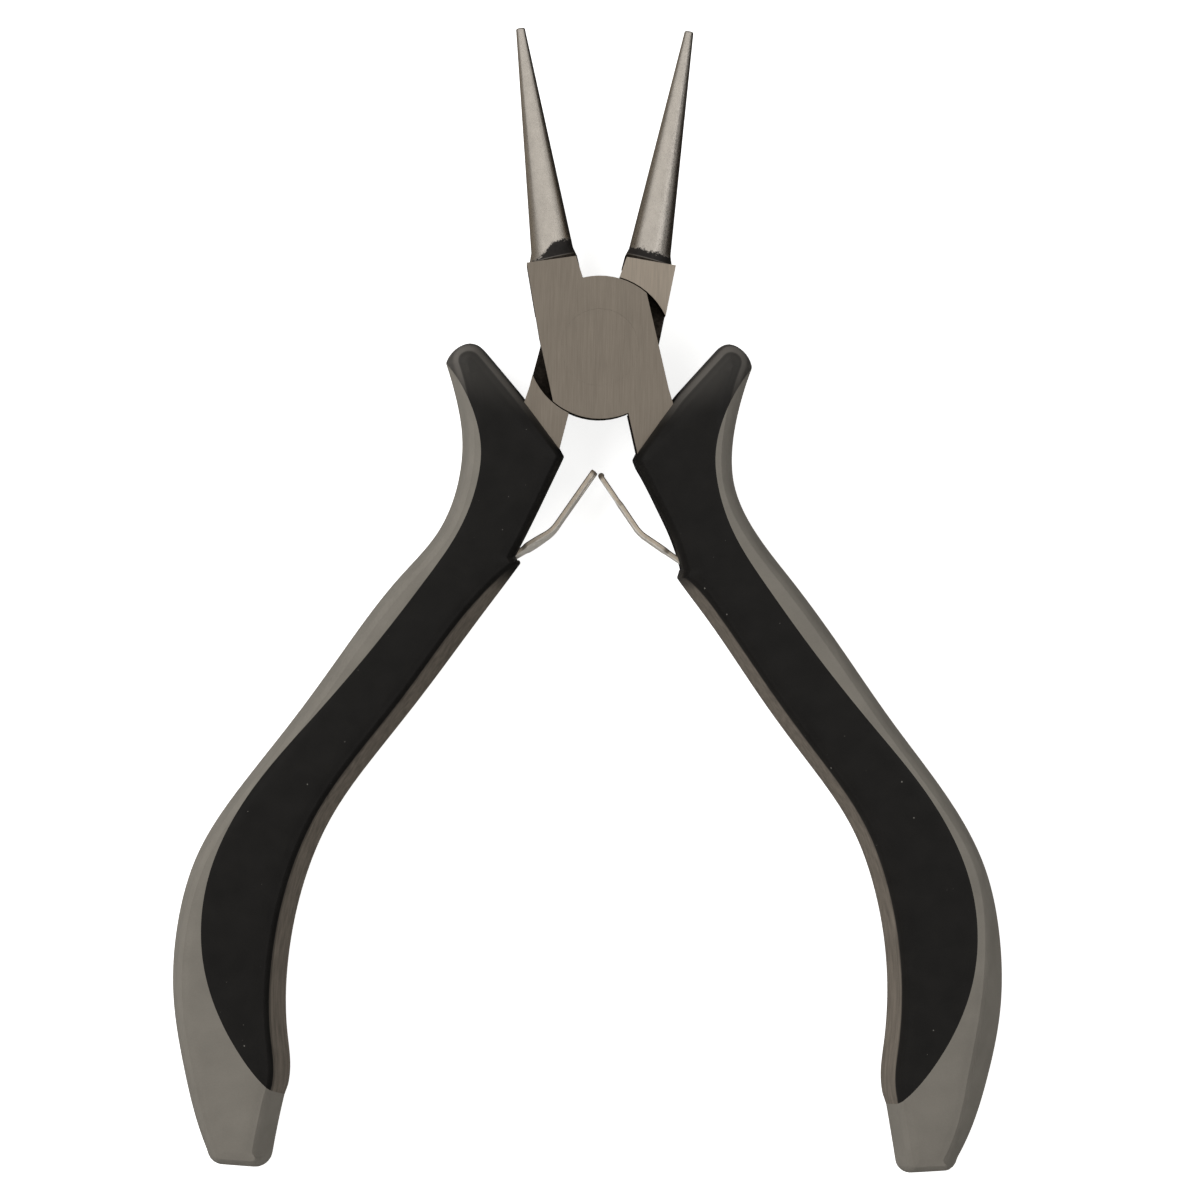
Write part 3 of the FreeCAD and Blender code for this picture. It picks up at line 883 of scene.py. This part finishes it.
def leaf_section(half_thick, half_width, edge):
    """Rounded rectangle across the strip: (across, z) pairs."""
    points = []
    for sign_a, sign_z, start in ((1, 1, 0), (-1, 1, 90), (-1, -1, 180), (1, -1, 270)):
        for step in range(4):
            angle = math.radians(start + 30 * step)
            points.append((sign_a * (half_thick - edge) + edge * math.cos(angle),
                           sign_z * (half_width - edge) + edge * math.sin(angle)))
    return points


def leaf_half_width(s, total, tongue):
    """The strip's half width at a distance from the foot end: narrow foot, full width, narrow tongue."""
    widens = smoothstep((s - FOOT_LENGTH) / FOOT_WIDENS_IN)
    width = FOOT_HALF_WIDTH + (LEAF_HALF_WIDTH - FOOT_HALF_WIDTH) * widens
    if tongue:
        widens = smoothstep((total - s - TONGUE_LENGTH) / TONGUE_WIDENS_IN)
        width = min(width, TONGUE_HALF_WIDTH + (LEAF_HALF_WIDTH - TONGUE_HALF_WIDTH) * widens)
    return width


def leaf_lean(lean, s, z):
    """The strip stands slightly out of square past its foot, most of all where it leaves the grip."""
    grown = smoothstep((s - LEAN_STARTS) / LEAN_LENGTH)
    near_grip = LEAN_NEAR_GRIP - (LEAN_NEAR_GRIP - 1) * smoothstep((s - LEAN_SETTLES) / LEAN_LENGTH)
    return lean * grown * near_grip * z / LEAF_HALF_WIDTH


def leaf_strip(name, end, side, lean):
    """The bent strip for one side, rounded at its foot end."""
    stations = leaf_line(end)
    total = stations[-1][2]
    verts = []
    for point, way, s in stations:
        thick, edge = LEAF_HALF_THICK, LEAF_EDGE_RADIUS
        if s < 0:
            thick = max(FOOT_END_HALF_THICK, math.sqrt(max(LEAF_HALF_THICK**2 - s * s, 0)))
            edge = min(edge, thick * 0.9)
        if total - s < TIP_ROUND:
            thick, edge = thick - TIP_ROUND, edge - TIP_EDGE_ROUND
        section = leaf_section(thick, leaf_half_width(s, total, side > 0), edge)
        for a, z in section:
            place = point - left_of(way) * (a + leaf_lean(lean, s, z))
            verts.append((place[0], place[1], z))
    return new_object(name, on_side(verts, side), closed_tube(len(stations), len(section)))


def leaf_marks(leaf, end, side, lean):
    """Per vertex: distance from the tip, share across from the middle to the handle's side, and z."""
    stations = leaf_line(end)
    total = stations[-1][2]
    middle = np.array([point for point, _, _ in stations])
    marks = []
    for x, y, z in on_side(coords(leaf), side):
        point, way, s = stations[int(np.argmin(np.hypot(middle[:, 0] - x, middle[:, 1] - y)))]
        across = (x - point[0]) * way[1] - (y - point[1]) * way[0] - leaf_lean(lean, s, z)
        marks.append((total - s, across / LEAF_HALF_THICK, z))
    return marks


def fork_gap(side):
    """The slot between the left leaf's prongs."""
    way = direction(FORK_END, LEAF_BEND)
    near, far = FORK_END - way, FORK_END + way * FORK_LENGTH
    wide = left_of(way) * FORK_CUTTER_HALF_WIDTH
    corners = [near - wide, far - wide, far + wide, near + wide]
    return prism("fork_gap", corners, FORK_HALF_GAP, lambda points: on_side(points, side))


def tongue_roll(side):
    """The curled end of the tongue, as a short round bar with softened ends."""
    way = direction(TONGUE_END, LEAF_BEND)
    centre = TONGUE_END + way * ROLL_BACK + left_of(way) * ROLL_ASIDE
    angles = [2 * math.pi * (k + 0.5) / ROLL_SIDES for k in range(ROLL_SIDES)]
    verts = [(centre[0] + radius * math.cos(angle), centre[1] + radius * math.sin(angle), z)
             for z, radius in ROLL_RINGS for angle in angles]
    faces = closed_tube(len(ROLL_RINGS), ROLL_SIDES)
    return new_object("tongue_roll", on_side(verts, side), faces)


def spring_leaf(node, side):
    is_right = side > 0
    end, lean = (TONGUE_END, TONGUE_LEAN) if is_right else (FORK_END, FORK_LEAN)
    leaf = leaf_strip(node + "_strip", end, side, lean)
    tool = tongue_roll(side) if is_right else fork_gap(side)
    cut(leaf, [("UNION" if is_right else "DIFFERENCE", tool)])
    remove(tool)
    shade(leaf, 35)
    store_drawn(leaf, leaf_marks(leaf, end, side, lean))
    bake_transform(leaf)
    stand_in(leaf, node, nickel)


spring_leaf("left_spring_leaf", -1)
spring_leaf("right_spring_leaf", 1)

# ---- grips ----------------------------------------------------------------------------------------------
COLOUR_EDGE_POINTS = 260
GROOVE_HALF_WIDTH = 2.1          # spring groove in the inner side of each grip
GROOVE_DEPTH = 1.0
GROOVE_TOP = -12.0
SLOT_CLEARANCE = 0.06            # around the leaf's foot
SLOT_SWINGS = (math.radians(-17.5), math.radians(4.5))   # the foot's, towards the handle and away from it
SLOT_REACH = 7.0
GROOVE_OPEN_SIDE = -3.0          # past the grips' inner side
REGION_LEFT, REGION_RIGHT, REGION_TOP = -4.0, 19.0, 1.0  # past the black shot on the sides that stay open
REGION_CORNERS = (10.0, -5.4)    # x at the colour edge's lower end, y at its upper end


def black_outline():
    """The black shot's side of the colour edge."""
    shares = np.linspace(0, 1, COLOUR_EDGE_POINTS)
    edge = [tuple(point) for point in at_shares(smooth_curve(COLOUR_EDGE), shares)]
    bottom = COLOUR_EDGE[-1][1]
    return edge + [(REGION_CORNERS[0], bottom), (REGION_LEFT, bottom), (REGION_LEFT, REGION_TOP),
                   (REGION_RIGHT, REGION_TOP), (REGION_RIGHT, REGION_CORNERS[1])]


def groove_outline(grip):
    floor = [(x + GROOVE_DEPTH, y) for x, y in GRIP_SIDES[grip]["neck"]]
    floor[-1] = (floor[-1][0], GROOVE_TOP)
    return floor + [(GROOVE_OPEN_SIDE, GROOVE_TOP), (GROOVE_OPEN_SIDE, floor[0][1])]


def slot_outline():
    """Wedge slot that the leaf's foot swings in, drawn at rest for the right handle."""
    heading = math.atan2(*direction(LEAF_HINGE, LEAF_BEND)[::-1])
    radius = LEAF_HALF_THICK + SLOT_CLEARANCE
    inner, outer = (np.array([math.cos(heading + swing), math.sin(heading + swing)]) for swing in SLOT_SWINGS)
    return [LEAF_HINGE - left_of(inner) * radius, LEAF_HINGE + inner * SLOT_REACH - left_of(inner) * radius,
            LEAF_HINGE + outer * SLOT_REACH + left_of(outer) * radius, LEAF_HINGE + left_of(outer) * radius]


def make_grip(grip, body, left):
    """The black and the grey shot of one grip, cut from the same moulded shape."""
    def place(points):
        return to_rest(points, left)

    def place_at_rest(points):
        return turn_over(points) if left else np.asarray(points, float)

    region = prism("region", black_outline(), HALF_THICK + 1.0, place)
    groove = prism("groove", groove_outline(grip), GROOVE_HALF_WIDTH, place)
    slot = prism("slot", slot_outline(), GROOVE_HALF_WIDTH, place_at_rest)
    tang = tang_cutters[body]
    verts, faces = whole_grip(grip)
    black = new_object(grip + "_grip_insert_moulded", place(verts), faces)
    grey = new_object(grip + "_grip_body_moulded", place(verts), faces)
    cut(black, [("INTERSECT", region), ("DIFFERENCE", tang), ("DIFFERENCE", groove), ("DIFFERENCE", slot)])
    cut(grey, [("DIFFERENCE", region), ("DIFFERENCE", tang)])
    remove(region, groove, slot, tang)
    for obj, node, slot_name, material in ((black, "_grip_insert", "black_grip", rubber),
                                           (grey, "_grip_body", "grey_grip", grey_plastic)):
        shade(obj, 30)
        store_drawn(obj, to_drawing(coords(obj), left))
        stand_in(obj, grip + node, material, body)


rubber = rubber_material()
grey_plastic = grey_material()
make_grip("right", "front_handle", False)
make_grip("left", "rear_handle", True)

# ---- floor, light and camera, in metres -----------------------------------------------------------------
FLOOR_REACH_M = 3.0
FLOOR_GLOW = 0.82                # the paper is lit from below for the camera only, so shadows stay faint
LIGHT_TARGET_M = Vector((0, -0.02, 0))
CAMERA_PLACE_M = (-0.0082, -0.0212, 0.5)
CAMERA_TILT_X, CAMERA_TILT_Y, CAMERA_ROLL = math.radians(0.833), math.radians(1.006), math.radians(0.984)
SENSOR_WIDTH = 36.0              # this and the lens in millimetres
LENS = 132.33


def floor():
    """White paper, which metal mirrors warm and darker towards one side."""
    corners = [(x * FLOOR_REACH_M, y * FLOOR_REACH_M, cad_low.z)
               for x, y in ((-1, -1), (1, -1), (1, 1), (-1, 1))]
    mesh = bpy.data.meshes.new("floor")
    mesh.from_pydata(corners, [], [(0, 1, 2, 3)])
    obj = link_object("floor", mesh)
    g = Finish("floor_paper")
    path = g.new("LightPath")
    seen = g.tint(PAPER, g.fit(g.noise(0.02, 2), 0.3, 0.7, 0.97, 1.0))
    toward_x = g.split(g.geometry.outputs["Incoming"])[0]
    mirrored = g.tint(MIRRORED_PAPER, g.fit(toward_x, -0.6, 0.6, 0.03, 0.32))
    g.join(g.shader, {"Emission Color": PAPER_LIGHT,
                      "Emission Strength": g.product(path.outputs["Is Camera Ray"], FLOOR_GLOW)})
    paint(obj, g.done(g.mix(path.outputs["Is Glossy Ray"], seen, mirrored), 0.9, specular=0.0))


def softbox(name, location, size, power, mirrored):
    """A rectangular light that points at the tool, seen in metal or not."""
    light = bpy.data.lights.new(name, "AREA")
    light.shape = "RECTANGLE"
    light.size, light.size_y = size
    light.energy = power
    obj = link_object(name, light)
    obj.location = location
    obj.rotation_mode = "QUATERNION"
    obj.rotation_quaternion = (LIGHT_TARGET_M - Vector(location)).to_track_quat("-Z", "Y")
    obj.visible_glossy = mirrored


def sky():
    """Soft surround: bright low down for matte surfaces. Metal mirrors a wide tent that ends on the right."""
    world = bpy.data.worlds.new("studio")
    bpy.context.scene.world = world
    world.use_nodes = True
    g = Nodes(world.node_tree)
    x, y, z = g.split(g.new("TexCoord").outputs["Generated"])
    matte = g.fit(z, 0.15, 0.75, 0.62, 0.25)
    slant = g.math("SUBTRACT", x, g.product(y, 2.3))
    tent = g.product(g.fit(slant, 0.10, 0.52, 0.64, 0.05), g.fit(y, -0.3, 0.3, 0.62, 1.52))
    overhead = g.fit(g.math("ABSOLUTE", y), 0.35, 0.6, 1.0, 0.0)
    near_top = g.product(overhead, g.fit(z, 0.18, 0.32, 0.0, 1.0))
    shiny = g.math("ADD", g.product(tent, near_top), g.product(g.rest(near_top), 0.34))
    strength = g.mix_value(g.new("LightPath").outputs["Is Glossy Ray"], matte, shiny)
    g.join(world.node_tree.nodes["Background"], {"Color": (1.0, 0.985, 0.96), "Strength": strength})


def camera():
    """Looks straight down on the tool, with the photo's slight tilt and roll."""
    data = bpy.data.cameras.new("camera")
    data.sensor_width = SENSOR_WIDTH
    data.lens = LENS
    data.clip_start, data.clip_end = 0.01, 20.0
    obj = link_object("camera", data)
    obj.location = CAMERA_PLACE_M
    to_camera = (Matrix.Rotation(-CAMERA_ROLL, 3, "Z") @ Matrix.Rotation(CAMERA_TILT_Y, 3, "Y")
                 @ Matrix.Rotation(CAMERA_TILT_X, 3, "X"))
    obj.rotation_mode = "QUATERNION"
    obj.rotation_quaternion = to_camera.transposed().to_quaternion()
    bpy.context.scene.camera = obj


floor()
sky()
softbox("key", location=(-0.34, 0.12, 0.42), size=(0.40, 0.34), power=1.9, mirrored=False)
softbox("fill", location=(0.34, -0.05, 0.36), size=(0.22, 0.30), power=0.28, mirrored=True)
camera()
bpy.context.scene.view_settings.view_transform = "Standard"
